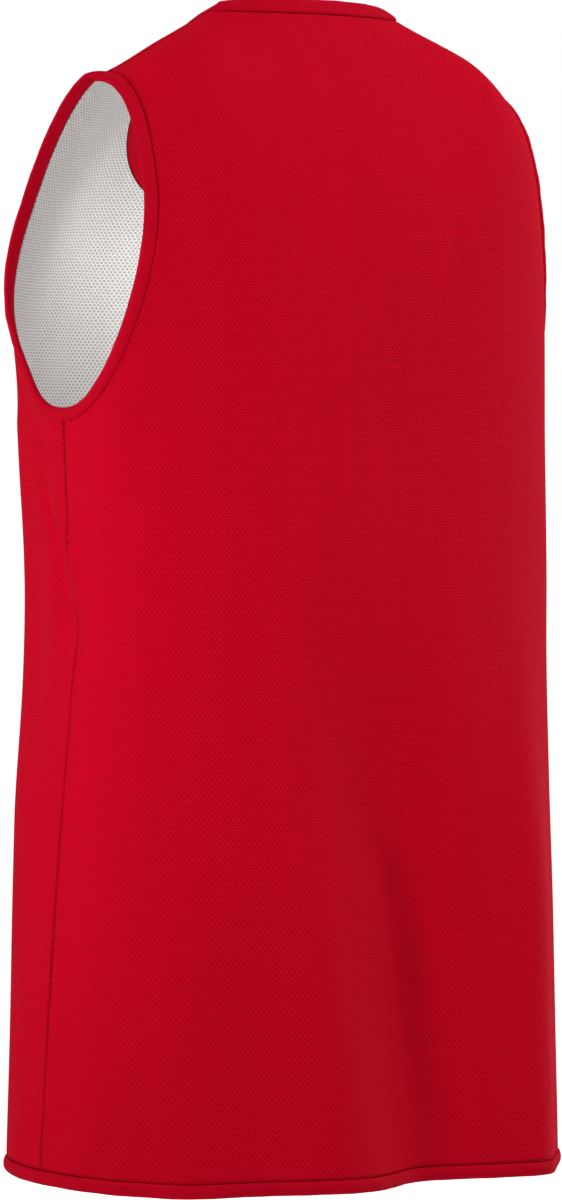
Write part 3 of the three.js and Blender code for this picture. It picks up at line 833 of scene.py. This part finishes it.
MATT_RED = {
    "Roughness": 0.75, "Specular IOR Level": 0.02, "Sheen Weight": 0.003, "Sheen Roughness": 0.5,
}
RED_MESH = cloth_material(
    "red_micro_mesh", MESH_KNIT,
    {"Across": 0.0032, "Up": 0.0020, "Hole": 0.30, "Unevenness": 0.7},
    [(0.56, 0.0009, 0.0145), (0.66, 0.0014, 0.0190)], (0.46, 0.0007, 0.0125),
    MATT_RED,
    (0.6, 0.0006),
)
WHITE_MESH = cloth_material(
    "white_mesh", MESH_KNIT,
    {"Across": 0.0040, "Up": 0.0021, "Hole": 0.38, "Unevenness": 0.5},
    [(0.85, 0.835, 0.82), (0.90, 0.885, 0.87)], (0.50, 0.49, 0.48),
    {"Roughness": 0.7, "Specular IOR Level": 0.2},
    (0.6, 0.0006),
)
RED_BAND = cloth_material(
    "red_band_knit", PLAIN_KNIT, {"Wale": 0.0012, "Course": 0.0010},
    [(0.48, 0.0009, 0.0140), (0.56, 0.0014, 0.0175)], None,
    MATT_RED,
    (0.4, 0.00025),
)
# Dark red: the stitches' own thread, and also the painted seam shade laid in the seam grooves
RED_THREAD_AND_SEAM_SHADE = cloth_material(
    "red_thread_and_seam_shade", PLAIN_KNIT, {"Wale": 0.0006, "Course": 0.0006},
    [(0.32, 0.0005, 0.008), (0.38, 0.0008, 0.010)], None,
    {"Roughness": 0.6, "Specular IOR Level": 0.02}, (0.3, 0.0001),
)

# ---------------------------------------------------------------- pieces
front_shell = panel_shell("front_shell", FRONT, OUTER_CLOTH, RED_MESH, SEAM_DIP)
back_shell = panel_shell("back_shell", BACK, OUTER_CLOTH, RED_MESH, SEAM_DIP)
front_inner = panel_shell("front_inner", FRONT, LINING_CLOTH, WHITE_MESH)
back_inner = panel_shell("back_inner", BACK, LINING_CLOTH, WHITE_MESH)
neck_binding, left_binding, right_binding, hem_binding = (
    band_ring(name, *edge, width, RED_BAND, seed)
    for name, edge, width, seed in (
        ("neck_binding", NECK_EDGE, NECK_BAND_WIDTH, 3),
        ("left_armhole_binding", LEFT_ARMHOLE_EDGE, ARMHOLE_BAND_WIDTH, 5),
        ("right_armhole_binding", RIGHT_ARMHOLE_EDGE, ARMHOLE_BAND_WIDTH, 7),
        ("hem_binding", HEM_EDGE, HEM_BAND_WIDTH, 9),
    )
)

# The stitches stand on the back panel, beside the side seams and the shoulder seams. Their
# distances from a seam and from its ends are shares of one of the part's columns or rows.
SIDE_STITCHES_IN, SHOULDER_STITCHES_IN = 0.12, 0.16
FIRST_STITCH, LAST_SHOULDER_STITCH = 0.05, 0.1
SIDE_STEPS, SHOULDER_STEPS = 200, 40
side_rows = np.linspace(FIRST_STITCH, LOWER_ROWS, SIDE_STEPS)
shoulder_columns = np.linspace(
    FIRST_STITCH, SHOULDER_COLUMNS - LAST_SHOULDER_STITCH, SHOULDER_STEPS
)
stitched = [
    (side_rows, SIDE_STITCHES_IN),
    (side_rows, COLUMNS - SIDE_STITCHES_IN),
    (TOP_ROW - SHOULDER_STITCHES_IN, shoulder_columns),
    (TOP_ROW - SHOULDER_STITCHES_IN, COLUMNS - shoulder_columns),
]
seam_stitches = stitch_piece(
    "seam_stitches",
    [stitch_row(*BACK.form(rows, columns)[:2], *SEAM_STITCH) for rows, columns in stitched],
    RED_THREAD_AND_SEAM_SHADE,
)

# A dark cord laid along each seam, down in its groove: painted shade that stands for the groove's
# shadow, not a real thread
SHADE_CORD_REACH, SHADE_CORD_HEIGHT, SIDE_SHADE_CORD_SINK = -1.0, -0.7, 0.8
painted_shade_paths = [
    beside(*edge[:2], SHADE_CORD_REACH, SHADE_CORD_HEIGHT)
    for edge in (NECK_EDGE, LEFT_ARMHOLE_EDGE, RIGHT_ARMHOLE_EDGE, HEM_EDGE)
]
# at the side seams the painted shade cord is sunk under the cloth, into the groove
for column in (0, COLUMNS):
    points, normals, _, _ = BACK.form(np.linspace(0, LOWER_ROWS, SIDE_STEPS), column)
    painted_shade_paths.append((points - normals * SIDE_SHADE_CORD_SINK, normals))
seam_shade_cord = stitch_piece(
    "seam_shade_cord", [stitch_row(*seam, *SEAM_SHADE_CORD_SIZE) for seam in painted_shade_paths], RED_THREAD_AND_SEAM_SHADE
)

for piece, node, slot in (
    (front_shell, "front_panel", "outer_mesh"),
    (back_shell, "back_panel", "outer_mesh"),
    (front_inner, "front_lining", "lining_mesh"),
    (back_inner, "back_lining", "lining_mesh"),
    (neck_binding, "neck_band", "band_knit"),
    (left_binding, "armhole_band_left", "band_knit"),
    (right_binding, "armhole_band_right", "band_knit"),
    (hem_binding, "hem_band", "band_knit"),
):
    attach(piece, "root")
    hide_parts(node)

# the stitches, and the cord of painted seam shade
for piece in (seam_stitches, seam_shade_cord):
    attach(piece, "root")


# ---------------------------------------------------------------- stage
FLOOR_Z, FLOOR_SIZE, FLOOR_WHITE, FLOOR_GLOW = -1.05, 400, 0.97, 0.92
WALL_LIGHT, ROOM_LIGHT, CEILING_LIGHT = 0.35, 0.05, 0.1
WALL_EDGE = (-0.95, -0.3)  # cosines from the camera's side between which the wall's light ends
CEILING_EDGE = (0.35, 0.95)  # and sines of the height between which the ceiling's light comes
LAMP_SIZE = 0.5

pale_floor = bpy.data.materials.new("pale_floor")
pale_floor.use_nodes = True
floor_tree = pale_floor.node_tree
floor_shader = floor_tree.nodes["Principled BSDF"]
for key, value in {
    "Base Color": (FLOOR_WHITE, FLOOR_WHITE, FLOOR_WHITE, 1),
    "Roughness": 1.0,
    "Specular IOR Level": 0.0,
    "Emission Color": (1, 1, 1, 1),
}.items():
    floor_shader.inputs[key].default_value = value
# only the camera sees the floor glow, so that it is as pale as the wall
seen = floor_tree.nodes.new("ShaderNodeLightPath").outputs["Is Camera Ray"]
glow = maths(floor_tree, "MULTIPLY", seen, FLOOR_GLOW)
floor_tree.links.new(glow, floor_shader.inputs["Emission Strength"])
bpy.ops.mesh.primitive_plane_add(size=FLOOR_SIZE, location=(0, 0, FLOOR_Z))
floor = bpy.context.object
floor.name = "floor"
floor.data.materials.append(pale_floor)

# A white studio: the wall behind the jersey and the ceiling are bright, and the rest is dim
world = bpy.data.worlds.new("world")
world.use_nodes = True
world_tree = world.node_tree


def fading(value, edge, start, end):
    node = add(
        world_tree, "ShaderNodeMapRange", interpolation_type="SMOOTHSTEP", links={"Value": value},
        sockets={"From Min": edge[0], "From Max": edge[1], "To Min": start, "To Max": end},
    )
    return node.outputs["Result"]


direction = world_tree.nodes.new("ShaderNodeTexCoord").outputs["Generated"]
nearness = add(
    world_tree, "ShaderNodeVectorMath", operation="DOT_PRODUCT", links={0: direction}
)
nearness.inputs[1].default_value = tuple(towards)
upness = add(world_tree, "ShaderNodeSeparateXYZ", links={0: direction}).outputs[2]
light = maths(
    world_tree, "ADD",
    fading(nearness.outputs["Value"], WALL_EDGE, WALL_LIGHT, ROOM_LIGHT),
    fading(upness, CEILING_EDGE, 0.0, CEILING_LIGHT),
)
# the camera itself sees it all white
seen = world_tree.nodes.new("ShaderNodeLightPath").outputs["Is Camera Ray"]
background = world_tree.nodes["Background"]
world_tree.links.new(maths(world_tree, "MAXIMUM", light, seen), background.inputs["Strength"])
background.inputs["Color"].default_value = (1, 1, 1, 1)
bpy.context.scene.world = world


def area_light(name, location, target, size, power, spread=180):
    data = bpy.data.lights.new(name, "AREA")
    data.shape = "DISK"
    data.size = size
    data.energy = power
    data.spread = np.radians(spread)
    lamp = bpy.data.objects.new(name, data)
    lamp.location = location
    aim = Vector(location) - Vector(target)
    lamp.rotation_euler = aim.to_track_quat("Z", "Y").to_euler()
    bpy.context.collection.objects.link(lamp)
    return lamp


def seen_from_camera(right, up, near):
    """A place by metres to the camera's right, up, and near to it, from the jersey's middle."""
    rightwards = Vector((-np.cos(VIEW_TURN), np.sin(VIEW_TURN), 0))
    return rightwards * right + Vector((0, 0, up + AXIS_HEIGHT)) + towards * near


# Name, place by the camera, height aimed at, power in watts and spread in degrees
for name, place, aim, power, spread in (
    ("left_far", (-2.2, 0.6, 0.1), -0.35, 18.0, 180),
    ("near_left", (-1.0, 0.2, 1.8), -0.4, 1.4, 50),
    ("near_middle", (-0.3, 0.1, 2.0), -0.36, 0.45, 50),
    ("high_right", (1.2, 2.0, 0.6), -0.2, 32.0, 180),
    ("right_far", (1.9, 0.6, -0.7), -0.4, 8.5, 180),
    ("rim_low", (1.5, -0.2, -1.3), -0.6, 6.5, 180),
):
    area_light(name, seen_from_camera(*place), (0, 0, aim), LAMP_SIZE, power, spread)
# a faint one in the hollow, that lights the lining
inside = area_light("inside", (-0.08, 0.02, -0.24), (0.12, -0.08, -0.1), size=0.12, power=0.17)
inside.visible_camera = False
